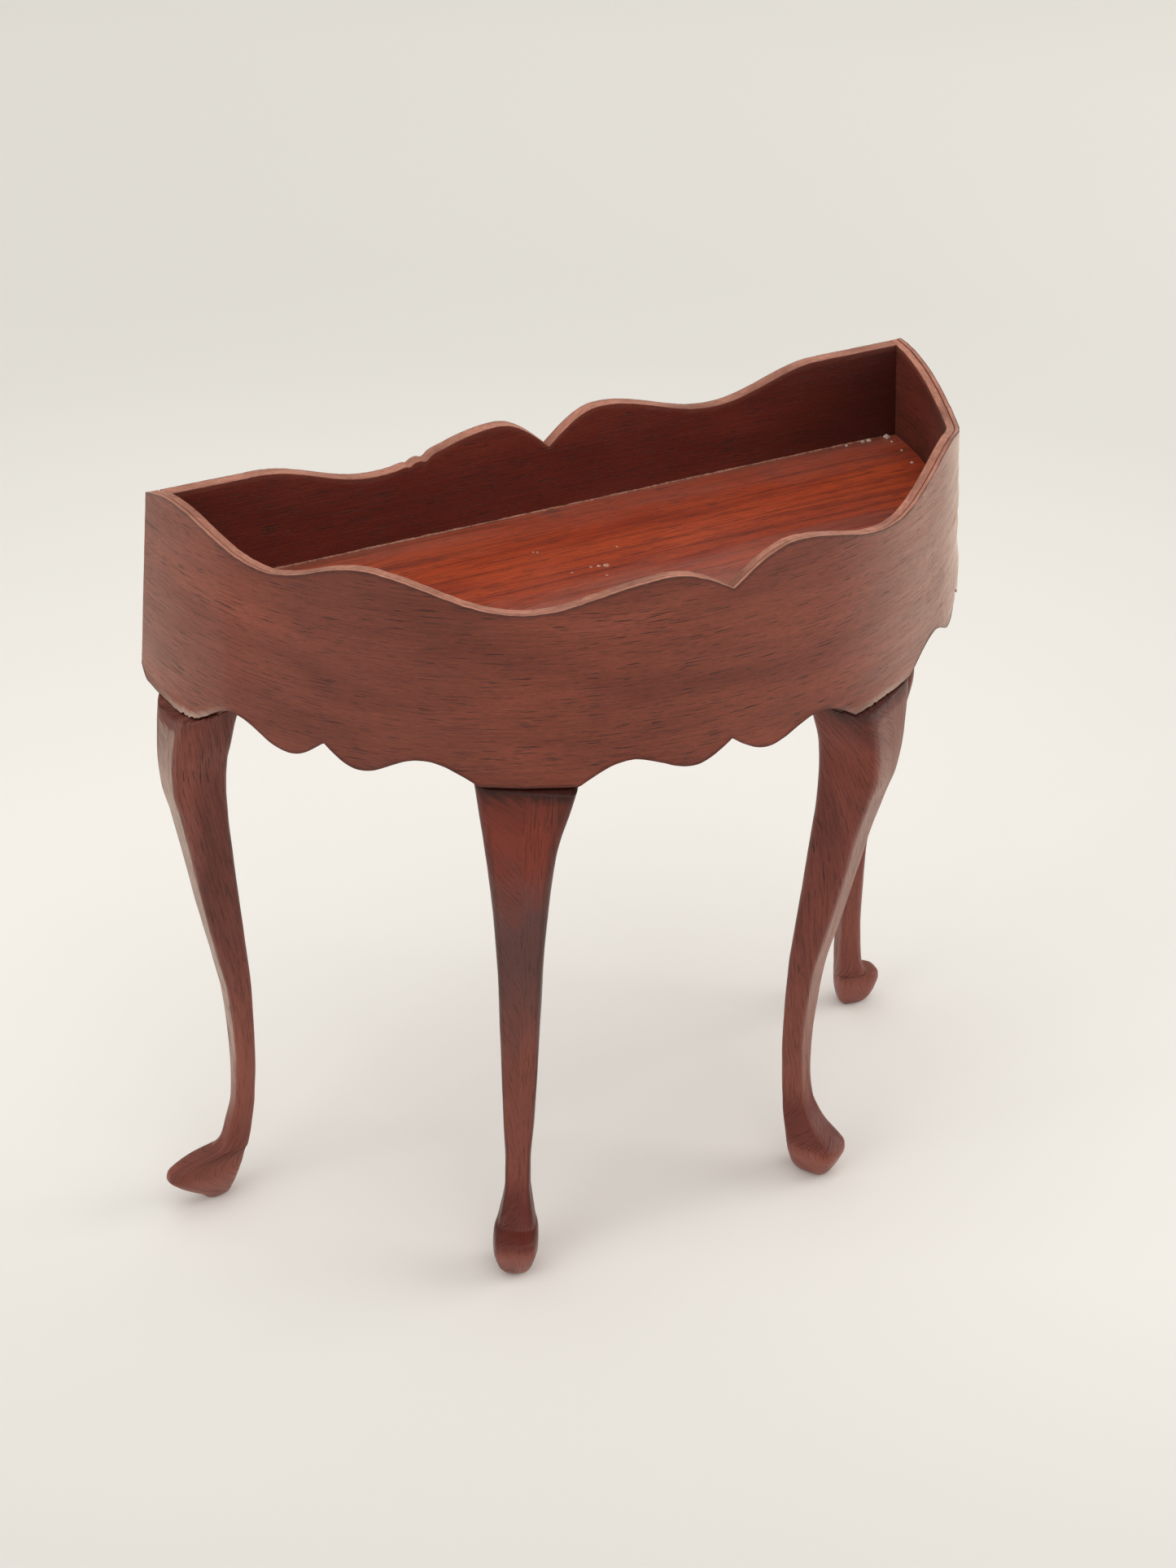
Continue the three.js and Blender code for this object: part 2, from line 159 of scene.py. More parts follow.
LEGS = [
    {
        "name": "back_left", "side": 1, "seed": 3, "foot": POINTED_FOOT, **BACK_LEG,
        "bulk": 0.87, "lean": 0.4, "tuck": 0.25, "chamfer": 0.5, "gap": 0.1,
        "light": (140, 74, 60), "strip": (190, 166, 152), **PALE_ARRIS,
        "pale": 0.7, "dark": 0.15, "warm": 0, "flank_shade": 0, "instep": 0.15, "joint_shade": 0.2,
    },
    {
        "name": "front_left", "side": 1, "seed": 11, "foot": PAD_FOOT, **FRONT_LEG,
        "chamfer": 0.13, "gap": 0.3,
        "light": (124, 55, 41), "strip": (150, 112, 96), **SHADED_ARRIS,
        "pale": 0, "dark": 0.72, "warm": 0.5, "flank_shade": 0.62, "instep": 0.65, "joint_shade": 0.85,
    },
    {
        "name": "front_right", "side": -1, "seed": 23, "foot": SLOPED_FOOT, **FRONT_LEG,
        "chamfer": 0.2, "gap": 0.22,
        "light": (140, 68, 53), "strip": (158, 116, 99), **PALE_ARRIS,
        "pale": 0.55, "dark": 0.1, "warm": 0.2, "flank_shade": 0, "instep": 0.6, "joint_shade": 0.6,
    },
    {
        "name": "back_right", "side": -1, "seed": 31, "foot": SHORT_FOOT, **BACK_LEG,
        "bulk": 0.8, "lean": 0, "tuck": 2.1, "chamfer": 0.4, "gap": 0.15,
        "light": (128, 60, 46), "strip": (158, 120, 104), **PALE_ARRIS,
        "pale": 0.3, "dark": 0, "warm": 0.1, "flank_shade": 0, "instep": 0.15, "joint_shade": 0.5,
    },
]


# ---- edges and the plan of the bent front ----------------------------------------------------


def mirrored(points, total):
    return [(total - place, height, kind) for place, height, kind in reversed(points)]


def edge_height(points, place):
    """Height of a wavy edge: half a cosine between level points, a quarter beside a kink."""
    index = min(max(bisect.bisect_left([p[0] for p in points], place), 1), len(points) - 1)
    start, low, kind_a = points[index - 1]
    end, high, kind_b = points[index]
    t = min(max((place - start) / (end - start), 0), 1)
    if kind_a == "round" and kind_b == "round":
        t = (1 - math.cos(math.pi * t)) / 2
    elif kind_a == "round":
        t = 1 - math.cos(math.pi * t / 2)
    elif kind_b == "round":
        t = math.sin(math.pi * t / 2)
    return low + (high - low) * t


RIM = RIM_LEFT + RIM_RIGHT
SKIRT = SKIRT_HALF + mirrored(SKIRT_HALF[:-1], 1)
PANEL_TOP = mirrored(PANEL_HALF[1:], 0) + PANEL_HALF


def smoothstep(x, low, high):
    t = min(max((x - low) / (high - low), 0), 1)
    return t * t * (3 - 2 * t)


def plan_scale(z):
    return 1 + FLARE * (CORNER - z)


def plan_table(steps):
    """Points of the plan from left to right, and the length of the plan up to each."""
    points = []
    for i in range(steps + 1):
        across, ahead = math.cos(math.pi * i / steps), math.sin(math.pi * i / steps)
        x = -math.copysign(abs(across) ** (2 / PLAN_POWER), across) * WIDTH / 2
        points.append(Vector((x, -max(ahead, 0) ** (2 / PLAN_POWER) * DEPTH, 0)))
    lengths = [0]
    for a, b in zip(points, points[1:]):
        lengths.append(lengths[-1] + (b - a).length)
    return points, lengths


PLAN_POINTS, PLAN_LENGTHS = plan_table(steps=4000)
GIRTH = PLAN_LENGTHS[-1]
TANGENT_STEP = 0.002  # share of the girth


def plan_at(along):
    target = min(max(along, 0), 1) * GIRTH
    i = min(max(bisect.bisect_left(PLAN_LENGTHS, target), 1), len(PLAN_POINTS) - 1)
    gap = PLAN_LENGTHS[i] - PLAN_LENGTHS[i - 1]
    return PLAN_POINTS[i - 1].lerp(PLAN_POINTS[i], (target - PLAN_LENGTHS[i - 1]) / gap)


def plan_inward(along):
    """Level direction into the tray, the same on both sides."""
    half = min(along, 1 - along)
    if half < 1e-6:
        tangent = Vector((0, -1, 0))
    else:
        step = min(half, TANGENT_STEP)
        tangent = (plan_at(half + step) - plan_at(half - step)).normalized()
    inward = Vector((-tangent.y, tangent.x, 0))
    if along > 0.5:
        inward.x *= -1
    return inward


def front_point(along, z, inset):
    point = plan_at(along) * plan_scale(z) + plan_inward(along) * inset
    point.y = min(point.y, 0)
    point.z = z
    return point


def reach_to_front(start, direction, z):
    """Level distance from a point inside the front to its outer face, found by halving."""
    near, far = 0, WIDTH
    for _ in range(40):
        middle = (near + far) / 2
        x = abs(start.x + direction.x * middle) / (WIDTH / 2 * plan_scale(z))
        y = abs(min(0, start.y + direction.y * middle)) / (DEPTH * plan_scale(z))
        if x ** PLAN_POWER + y ** PLAN_POWER < 1:
            near = middle
        else:
            far = middle
    return near


def ripple(x, y, seed, octaves=3):
    """Smooth noise between about -1 and 1, different for each seed."""
    seed_spacing, dimension, lacunarity = 7.13, 0.9, 2.0
    return noise.fractal(Vector((x, y, seed * seed_spacing)), dimension, lacunarity, octaves)


# ---- meshes ----------------------------------------------------------------------------------


def place_object(name, data):
    made = bpy.data.objects.new(name, data)
    bpy.context.collection.objects.link(made)
    return made


def smooth_piece(name, mesh, edit, material):
    """A piece from an edited mesh, with its faces turned outwards and shaded smoothly."""
    bmesh.ops.recalc_face_normals(edit, faces=edit.faces)
    edit.to_mesh(mesh)
    edit.free()
    for polygon in mesh.polygons:
        polygon.use_smooth = True
    mesh.materials.append(material)
    return place_object(name, mesh)


def loft(name, rings, along, around, marks, material, sharp=35):
    """A closed piece from rings of points, with grain coordinates in mm and vertex marks.

    around holds, for each side of each ring, the grain coordinate at its start and its end.
    sharp is the angle in degrees from which an edge between faces is left sharp.
    """
    count = len(rings[0])
    shift = Vector((CENTRE_X, BACK_Y, 0))
    vertices = [(point + shift) * MM for ring in rings for point in ring]
    faces = []
    corners = []
    for i in range(len(rings) - 1):
        for j in range(count):
            k = (j + 1) % count
            faces.append((i * count + j, i * count + k, (i + 1) * count + k, (i + 1) * count + j))
            (a, b), (c, d) = around[i][j], around[i + 1][j]
            corners.append(((along[i], a), (along[i], b), (along[i + 1], d), (along[i + 1], c)))
    last = (len(rings) - 1) * count
    for cap in (list(reversed(range(count))), [last + j for j in range(count)]):
        faces.append(tuple(cap))
        corners.append([tuple(v / MM for v in vertices[index][:2]) for index in cap])
    mesh = bpy.data.meshes.new(name)
    mesh.from_pydata(vertices, [], faces)
    grain = mesh.uv_layers.new(name="grain")
    flat = [value for face in corners for corner in face for value in corner]
    grain.data.foreach_set("uv", flat)
    for key, values in marks.items():
        mark = mesh.attributes.new(key, "FLOAT", "POINT")
        mark.data.foreach_set("value", [value for ring in values for value in ring])
    edit = bmesh.new()
    edit.from_mesh(mesh)
    piece = smooth_piece(name, mesh, edit, material)
    mesh.set_sharp_from_angle(angle=math.radians(sharp))
    return piece


def stations(points, total, steps):
    """Even places along an edge, with the edge's own kinks in place of those near them."""
    even = [points[0][0] + total * i / steps for i in range(steps + 1)]
    kinks = [p[0] for p in points if p[2] == "sharp"]
    near = total / steps * 0.4
    kept = [e for e in even if all(abs(e - k) > near for k in kinks)]
    return sorted(set(kept + kinks + [even[0], even[-1]]))


INSIDE_GRAIN = 200  # starts the grain of a board's second face somewhere else
BOARD_ROWS = 26
# The edge mark carries pale rubbing on some pieces and painted shade lines on others.
EDGE_TONE_WIDTH = 0.7  # how far from an edge it can be worn


def board(name, places, top, bottom, point_at, faces, wave, material, sheen_and_splinters=None):
    """A thin upright board: its outline runs along, its section goes round its edges.

    point_at(s, z, inset) gives a point, faces is the pair of insets of its two faces, and
    wave(s, z) bends its first face in or out. sheen_and_splinters(s, z) is how much painted
    sheen and pale splinters its first face has.
    """
    outer, inner = faces
    rings, along, around = [], [], []
    cut, edge, sheen_and_splinter_rows = [], [], []
    distance = 0
    for index, s in enumerate(places):
        high, low = top(s), bottom(s)
        flat = high - low - 2 * EDGE_BEVEL
        heights = [low + EDGE_BEVEL + flat * i / BOARD_ROWS for i in range(BOARD_ROWS + 1)]
        ring = [(z, outer + wave(s, z), 0) for z in heights]
        ring += [(high, outer + EDGE_BEVEL, 1), (high, inner - EDGE_BEVEL, 1)]
        ring += [(z, inner, 0) for z in reversed(heights)]
        ring += [(low, inner - EDGE_BEVEL, 1), (low, outer + EDGE_BEVEL, 1)]
        points = [point_at(s, z, inset) for z, inset, _ in ring]
        if index:
            distance += (points[0] - rings[-1][0]).xy.length
        spans = []
        for j, (z, inset, mark) in enumerate(ring):
            after = ring[(j + 1) % len(ring)]
            if mark or after[2]:
                spans.append((inset, after[1]))
            elif j <= BOARD_ROWS:
                spans.append((z, after[0]))
            else:
                spans.append((INSIDE_GRAIN - z, INSIDE_GRAIN - after[0]))
        rings.append(points)
        along.append(distance)
        around.append(spans)
        cut.append([mark for _, _, mark in ring])
        edge.append([max(0, 1 - min(abs(high - z), abs(z - low)) / EDGE_TONE_WIDTH) for z, _, _ in ring])
        ring_sheen_and_splinters = [sheen_and_splinters(s, z) for z in heights] if sheen_and_splinters else [0] * len(heights)
        sheen_and_splinter_rows.append(ring_sheen_and_splinters + [0] * (len(ring) - len(heights)))
    return loft(name, rings, along, around, {"cut": cut, "edge": edge, "sheen_and_splinters": sheen_and_splinter_rows}, material)


# ---- materials -------------------------------------------------------------------------------


def linear(*levels):
    """sRGB levels from 0 to 255 as linear colour."""
    return tuple(
        v / 255 / 12.92 if v <= 10 else ((v / 255 + 0.055) / 1.055) ** 2.4 for v in levels
    ) + (1,)


class Shader:
    """A short way to write node materials."""

    def __init__(self, name):
        self.material = bpy.data.materials.new(name)
        self.material.use_nodes = True
        self.tree = self.material.node_tree
        self.surface = self.tree.nodes["Principled BSDF"]

    def put(self, socket, value):
        if isinstance(value, bpy.types.NodeSocket):
            self.tree.links.new(value, socket)
        else:
            socket.default_value = value

    def node(self, kind, inputs=None, **settings):
        made = self.tree.nodes.new("ShaderNode" + kind)
        for key, value in settings.items():
            setattr(made, key, value)
        for key, value in (inputs or {}).items():
            self.put(made.inputs[key], value)
        return made

    def attribute(self, name):
        return self.node("Attribute", attribute_name=name).outputs["Fac"]

    def object_grain(self):
        """Object coordinates in mm, for a piece with its grain along x."""
        place = self.node("TexCoord").outputs["Object"]
        return self.node("Mapping", {"Vector": place, "Scale": (1 / MM,) * 3}).outputs[0]

    def math(self, operation, a, b, clamp=False):
        made = self.node("Math", {0: a, 1: b}, operation=operation, use_clamp=clamp)
        return made.outputs[0]

    def total(self, *terms):
        """The sum of pairs of a value and its weight."""
        parts = [self.math("MULTIPLY", value, weight) for value, weight in terms]
        result = parts[0]
        for part in parts[1:]:
            result = self.math("ADD", result, part)
        return result

    def sway(self, value, noise_value, amount):
        """A value moved to and fro by noise."""
        centred = self.math("SUBTRACT", noise_value, 0.5)
        return self.math("ADD", value, self.math("MULTIPLY", centred, amount))

    def ramp(self, value, low, high, out_low=0.0, out_high=1.0):
        made = self.node("MapRange", {0: value, 1: low, 2: high, 3: out_low, 4: out_high})
        return made.outputs[0]

    def between(self, value, rise, fall):
        """Up from 0 to 1 over rise, and down again over fall."""
        return self.math("MULTIPLY", self.ramp(value, *rise), self.ramp(value, fall[1], fall[0]))

    def mix(self, amount, a, b):
        made = self.node("Mix", data_type="RGBA")
        self.put(made.inputs[0], amount)
        self.put(made.inputs[6], a)
        self.put(made.inputs[7], b)
        return made.outputs[2]

    def stain(self, amount, colour, levels):
        """A colour with some of another, given in sRGB levels, mixed in."""
        return self.mix(amount, colour, linear(*levels))

    def noise(self, place, scale, stretch=(1, 1, 1), offset=0, detail=2, rough=0.5, twist=0):
        moved = self.node(
            "Mapping", {"Vector": place, "Location": (offset,) * 3, "Scale": stretch}
        ).outputs[0]
        made = self.node("TexNoise", {
            "Vector": moved, "Scale": scale, "Detail": detail, "Roughness": rough,
            "Distortion": twist,
        })
        return made.outputs[0]

    def streaks(self, grain, along, across, offset, detail=3, rough=0.6, twist=0):
        """Noise drawn out along the grain, by its frequencies per mm along and across it."""
        return self.noise(grain, 1, (along, across, across), offset, detail, rough, twist)


def pore_pits(shader, grain, patch, pores, seed):
    """Short dark pores with smaller ticks between them, gathered in patches."""
    dash = shader.streaks(grain, 0.36, 9.5, 71 + seed, 1.2, 0.45, 0.2)
    tick = shader.streaks(grain, 1.3, 11, 83 + seed, 1, 0.5, 0.3)
    gathered = shader.math("ADD", dash, shader.ramp(patch, 0.3, 0.7, -0.035, 0.035))
    more = 0.06 * pores
    pits = shader.ramp(gathered, 0.68 - more, 0.705 - more)
    small = shader.ramp(tick, 0.72 - more, 0.75 - more, 0, 0.35)
    return shader.math("MAXIMUM", pits, small)


def edge_rubbing_and_shade(shader, grain, colour, rubbed_and_shaded_edge, rubbed_and_shaded_amount, narrow, seed):
    """A ragged colour along the edges: rubbed pale on some pieces, a painted shade line on
    others. A higher narrow keeps it closer to them.
    """
    ragged = shader.streaks(grain, 0.5, 2, 57 + seed)
    near = shader.math("ADD", shader.attribute("edge"), shader.math("SUBTRACT", ragged, narrow))
    amount = shader.math("MULTIPLY", near, 2.2, clamp=True)
    return shader.stain(shader.math("MULTIPLY", amount, rubbed_and_shaded_amount), colour, rubbed_and_shaded_edge)


def cut_edges(shader, grain, colour, bare, seed):
    """Bare wood on the cut edges: sawn, grimy in places, and dark along their outer side."""
    light, dark, grimy, line = bare
    inset = shader.node("SeparateXYZ", {0: grain}).outputs[1]
    inset = shader.sway(inset, shader.streaks(grain, 0.5, 0.1, 17 + seed), 0.16)
    saw = shader.streaks(grain, 1.6, 3, 19 + seed)
    grime = shader.streaks(grain, 0.16, 0.4, 23 + seed)
    raw = shader.mix(shader.ramp(saw, 0.3, 0.7), linear(*light), linear(*dark))
    raw = shader.stain(shader.ramp(grime, 0.4, 0.7, 0, 0.75), raw, grimy)
    raw = shader.stain(shader.ramp(inset, 0.1, 0.17, 0.9, 0), raw, line)
    return shader.mix(shader.ramp(shader.attribute("cut"), 0.35, 0.75), colour, raw)


def wood(name, light, dark, pore, seed, bare=None, pores=0.5, streaks=0, rubbed_and_shaded_edge=None, rubbed_and_shaded_amount=0,
         narrow=0.62, tones=None, sheen_and_splinters=None, rough=0.4, coat=0.1, specular=0.25, sheen=0.1,
         relief=1, by_object=False):
    """Stained wood: broad shade, fibres, short dark pores, bare cut edges and a ragged edge colour.

    Colours are in sRGB levels. tones adds a piece's own tones and painted light and shade
    under the edge colour, and sheen_and_splinters adds what lies over it. by_object takes the
    grain from object coordinates.
    """
    shader = Shader(name)
    if by_object:
        grain = shader.object_grain()
    else:
        grain = shader.node("UVMap", uv_map="grain").outputs[0]
    # Each noise starts at an offset of its own, so that no two line up.
    broad = shader.streaks(grain, 0.05, 0.22, 13 + seed, 3, 0.55, 0.4)
    fibre = shader.streaks(grain, 0.16, 5, 5 + seed, 4, 0.6, 0.3)
    hair = shader.streaks(grain, 1.1, 17, 31 + seed, 2, 0.6)
    patch = shader.streaks(grain, 0.11, 0.2, 47 + seed, 2, 0.5)
    pits = pore_pits(shader, grain, patch, pores, seed)

    shade = shader.total((shader.ramp(broad, 0.3, 0.7), 0.4), (fibre, 0.6))
    colour = shader.mix(shader.ramp(shade, 0.3, 0.72), linear(*dark), linear(*light))
    colour = shader.stain(shader.ramp(hair, 0.42, 0.72, 0, 0.4), colour, pore)
    colour = shader.stain(shader.math("MULTIPLY", pits, 0.8), colour, pore)
    if streaks:
        long_streaks = shader.streaks(grain, 0.035, 1.5, 90 + seed, 3, 0.55, 0.5)
        colour = shader.stain(shader.ramp(long_streaks, 0.5, 0.66, 0, streaks), colour, pore)
    if tones:
        colour = tones(shader, grain, colour)
    if rubbed_and_shaded_edge:
        colour = edge_rubbing_and_shade(shader, grain, colour, rubbed_and_shaded_edge, rubbed_and_shaded_amount, narrow, seed)
    if sheen_and_splinters:
        colour = sheen_and_splinters(shader, grain, colour)
    if bare:
        colour = cut_edges(shader, grain, colour, bare, seed)
    shader.put(shader.surface.inputs["Base Color"], colour)

    mottle = shader.total((patch, 0.6), (hair, 0.4))
    gloss = shader.ramp(mottle, 0.3, 0.7, rough - 0.08, rough + 0.1)
    if bare:
        gloss = shader.math("ADD", gloss, shader.total((shader.attribute("cut"), 0.25)))
    gloss = shader.math("ADD", gloss, shader.total((pits, 0.15)))
    shader.put(shader.surface.inputs["Roughness"], gloss)
    height = shader.total((pits, -0.6), (fibre, 0.5), (hair, 0.2))
    depth = {"Height": height, "Strength": 0.7 * relief, "Distance": 0.12 * MM}
    bump = shader.node("Bump", depth)
    shader.put(shader.surface.inputs["Normal"], bump.outputs[0])
    for key, value in {
        "Specular IOR Level": specular,
        "Sheen Weight": sheen,
        "Sheen Roughness": 0.4,
        "Sheen Tint": linear(255, 226, 208),
        "Coat Weight": coat,
        "Coat Roughness": 0.28,
    }.items():
        shader.surface.inputs[key].default_value = value
    return shader.material


def end_sheen_and_splinters(shader, grain, colour):
    """Painted sheen and splinters as pale streaks where their mark is above 0, darker below it."""
    sheen_and_splinters = shader.attribute("sheen_and_splinters")
    lines = shader.streaks(grain, 0.1, 1.6, 140, twist=0.2)
    amount = shader.math("MULTIPLY", sheen_and_splinters, shader.sway(1.0, lines, 1.6), clamp=True)
    colour = shader.stain(shader.ramp(sheen_and_splinters, 0, -1), colour, (58, 30, 26))
    return shader.stain(amount, colour, (226, 204, 188))


def corner_shade(shader, grain, colour):
    """Painted shade in the far right corner of the back."""
    along = shader.node("SeparateXYZ", {0: grain}).outputs[0]
    return shader.stain(shader.ramp(along, 58, 73, 0, 0.6), colour, (52, 22, 20))


def tray_painted_sheen(shader, grain, colour):
    """Painted sheen along the front and back of the tray, with a wandering border."""
    ahead = shader.node("SeparateXYZ", {0: grain}).outputs[1]
    cloud = shader.streaks(grain, 0.06, 0.25, 160, twist=0.4)
    place = shader.sway(ahead, cloud, 13)
    front = shader.ramp(place, TRAY_MIDDLE + 2.5, TRAY_MIDDLE - 7.5, 0, 0.78)
    back = shader.ramp(place, BACK_Y - 6.5, BACK_Y - 1, 0, 0.25)
    return shader.stain(shader.math("ADD", front, back, clamp=True), colour, (152, 112, 102))


def leg_tones(leg):
    """Tones up a leg, whose height mark is 0 at the sole and 1 at the top of the knee."""

    def tones(shader, grain, colour):
        seed = leg["seed"]
        height = shader.attribute("height")
        cloud = shader.streaks(grain, 0.12, 0.25, seed + 3, 3, 0.55)
        up = shader.sway(height, cloud, 0.25)

        # Darker and greyer on the upper leg, duller stain below it and warm red above it.
        dark = shader.total((shader.between(up, (0.42, 0.6), (0.74, 0.9)), leg["dark"]))
        colour = shader.stain(dark, colour, (88, 56, 54))
        colour = shader.stain(shader.ramp(up, 0.62, 0.34, 0, 0.42), colour, (148, 86, 72))
        warm = shader.total((shader.between(up, (0.74, 0.88), (0.93, 1.02)), leg["warm"]))
        colour = shader.stain(warm, colour, (134, 52, 34))
        # Painted shade on the sideways faces, which are seen edge-on.
        flank_shade = shader.total((shader.attribute("flank_shade"), leg["flank_shade"]))
        colour = shader.stain(flank_shade, colour, (46, 22, 19))

        # Painted shade and a dark joint under the front's lower edge, ragged with splinters.
        torn = shader.streaks(grain, 0.7, 1.4, seed + 15)
        under = shader.sway(height, torn, 0.045)
        joint_shade = leg["joint_shade"]
        colour = shader.stain(shader.ramp(under, 0.93, 0.975, 0, 0.33 * joint_shade), colour, (80, 28, 20))
        colour = shader.stain(shader.ramp(under, 0.978, 0.996, 0, joint_shade), colour, (44, 18, 14))

        # Redder above the foot, and paler on the foot itself.
        neck = shader.sway(height, cloud, 0.06)
        instep = shader.total((shader.between(neck, (0.06, 0.08), (0.13, 0.18)), leg["instep"]))
        colour = shader.stain(instep, colour, (84, 26, 20))
        colour = shader.stain(shader.ramp(neck, 0.07, 0.05, 0, 0.35), colour, (156, 96, 86))

        # The paler outward face: partly rubbed, partly a painted reflection.
        strip_noise = shader.streaks(grain, 0.25, 1.4, seed + 9)
        strip = shader.ramp(shader.sway(shader.attribute("strip"), strip_noise, 1.3), 0.55, 0.95)
        strip = shader.math("MULTIPLY", strip, shader.ramp(up, 0.14, 0.34, 0, leg["pale"]))
        strip = shader.math("MULTIPLY", strip, shader.ramp(up, 0.99, 0.86, 0.5, 1))
        return shader.stain(strip, colour, leg["strip"])

    return tones


BARE = ((198, 138, 118), (172, 112, 92), (118, 72, 58), (58, 28, 23))

# The front's dark edge colour is a painted shade line along its top and bottom edges.
band_wood = wood(
    "stained_band", (146, 75, 57), (114, 54, 40), (44, 17, 12), 1, BARE,
    rubbed_and_shaded_edge=(64, 30, 25), rubbed_and_shaded_amount=0.55, narrow=0.95, sheen_and_splinters=end_sheen_and_splinters, rough=0.45, coat=0, sheen=0.22,
    relief=1.2,
)
core_wood = wood(
    "band_core", (128, 53, 37), (74, 27, 20), (46, 18, 13), 2, BARE,
    rubbed_and_shaded_edge=(150, 96, 78), rubbed_and_shaded_amount=0.35, rough=0.42, coat=0.05, relief=1.5,
)
panel_wood = wood(
    "stained_panel", (120, 50, 38), (94, 36, 27), (46, 17, 13), 3, BARE,
    rubbed_and_shaded_edge=(140, 88, 72), rubbed_and_shaded_amount=0.25, tones=corner_shade, rough=0.42, coat=0.05,
)
tray_wood = wood(
    "tray_board", (190, 76, 36), (146, 50, 25), (80, 27, 15), 4,
    pores=0.6, streaks=0.5, tones=tray_painted_sheen, rough=0.36, coat=0.2, by_object=True,
)
peg_wood = wood(
    "bare_dowel", (205, 172, 128), (178, 140, 96), (120, 86, 56), 5,
    pores=0.3, rough=0.7, coat=0, by_object=True,
)


def leg_wood(leg):
    return wood(
        "carved_" + leg["name"], leg["light"], (92, 38, 28), (48, 19, 14), leg["seed"],
        rubbed_and_shaded_edge=leg["arris"], rubbed_and_shaded_amount=leg["rubbed_and_shaded_amount"], tones=leg_tones(leg), rough=0.34, specular=0.2,
        sheen=0.05, relief=1.7,
    )


def mottled_paint(name, light, dark, scale, rough):
    """A matt surface mottled in two colours."""
    shader = Shader(name)
    mottle = shader.noise(shader.object_grain(), scale, detail=3, rough=0.6)
    colour = shader.mix(shader.ramp(mottle, 0.35, 0.65), linear(*dark), linear(*light))
    gloss = shader.ramp(mottle, 0.3, 0.7, rough - 0.1, rough + 0.1)
    bump = shader.node("Bump", {"Height": mottle, "Strength": 0.4, "Distance": 0.05 * MM})
    shader.put(shader.surface.inputs["Base Color"], colour)
    shader.put(shader.surface.inputs["Roughness"], gloss)
    shader.put(shader.surface.inputs["Normal"], bump.outputs[0])
    return shader.material


glue_seam = mottled_paint("glue_seam", (176, 122, 100), (128, 78, 60), 2.5, 0.5)
dried_glue = mottled_paint("dried_glue", (214, 196, 184), (168, 132, 116), 3.5, 0.45)
pale_fleck = mottled_paint("pale_fleck", (206, 160, 140), (160, 100, 80), 4, 0.6)


# ---- the bent front --------------------------------------------------------------------------


def rim_top(s):
    """The rim, uneven by hand but never above its highest peaks."""
    height = edge_height(RIM, s)
    highest = 0 if height > 1.05 else 0.05
    hand = 0.05 * ripple(s * 42, 0, 1) + 0.03 * ripple(s * 160, 0, 2)
    return CORNER + height + min(hand, highest)


def hump(x, middle, width):
    return math.exp(-(((x - middle) / width) ** 2))


def torn_edge(s):
    """Where the lower edge is splintered: over the back left and the front right knees."""
    return max(hump(s, 0.07, 0.028), 0.9 * hump(s, 0.648, 0.03))


def skirt_bottom(s):
    hand = 0.05 * ripple(s * 50, 3, 4) + torn_edge(s) * 0.32 * abs(ripple(s * 190, 5, 6))
    return CORNER + edge_height(SKIRT, s) + max(hand, -0.05)


def core_top(s):
    return rim_top(s) - 0.02 - 0.03 * abs(ripple(s * 60, 2, 12))


def core_bottom(s):
    return skirt_bottom(s) + 0.05 + 0.08 * abs(ripple(s * 90, 2, 13))


def band_wave(s, z):
    """Bending ridges that run with the grain and are strongest near the right corner."""
    strength = 0.02 + 0.14 * smoothstep(s, 0.62, 0.82)
    ridge = ripple(s * GIRTH * 0.08, z * 0.85, 8, 3)
    sag = ripple(s * 9, z * 0.06, 9, 2)
    return 0.09 + strength * ridge + 0.03 * sag


def band_sheen_and_splinters(s, z):
    """Painted sheen at both ends, most at the right, pale splinters, darker left of the middle."""
    corner = 0.1 * (1 - smoothstep(s, 0, 0.17)) * (0.4 + 0.6 * (1 - smoothstep(z, 55, 66)))
    above = z - skirt_bottom(s)
    splinters = 0.5 * torn_edge(s) * (1 - smoothstep(above, 0.1, 0.8))
    darker = 0.25 * smoothstep(s, 0.1, 0.2) * (1 - smoothstep(s, 0.27, 0.37))
    right = 0.2 * smoothstep(s, 0.58, 0.72) + 0.62 * smoothstep(s, 0.73, 0.86)
    return corner + splinters - darker + right * (1 - 0.8 * smoothstep(s, 0.875, 0.95))


band_places = stations(RIM, 1, 620)
outer_ply = board(
    "band_veneer", band_places, rim_top, skirt_bottom, front_point, (0, OUTER_PLY), band_wave,
    band_wood, band_sheen_and_splinters,
)
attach(outer_ply, "root")
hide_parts("front_band_outer_ply")

inner_ply = board(
    "band_core", band_places, core_top, core_bottom, front_point, (INNER_PLY, WALL),
    lambda s, z: 0, core_wood,
)
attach(inner_ply, "root")
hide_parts("front_band_inner_ply")

# ---- the back panel, the tray floor and the dowels -------------------------------------------


def panel_point(s, z, inset):
    """The panel's ends follow the front's flare."""
    half = WIDTH / 2 * plan_scale(z) - WALL - GLUE
    return Vector((s / (WIDTH / 2) * half, -inset, z))


def panel_top(s):
    """The panel's wavy edge, uneven by hand and chipped in two places left of the notch."""
    chips = 0.35 * hump(s, -12.6, 0.45) + 0.2 * hump(s, -14.2, 0.3)
    hand = 0.05 * ripple(s * 0.5, 0, 21) + 0.025 * ripple(s * 2.2, 0, 22)
    return CORNER + edge_height(PANEL_TOP, s) + min(hand, 0) - chips


def panel_bottom(s):
    return PANEL_BOTTOM + 0.04 + 0.04 * ripple(s * 0.7, 0, 25)


def panel_wave(s, z):
    return 0.02 + 0.02 * ripple(s * 0.08, z * 0.6, 26)


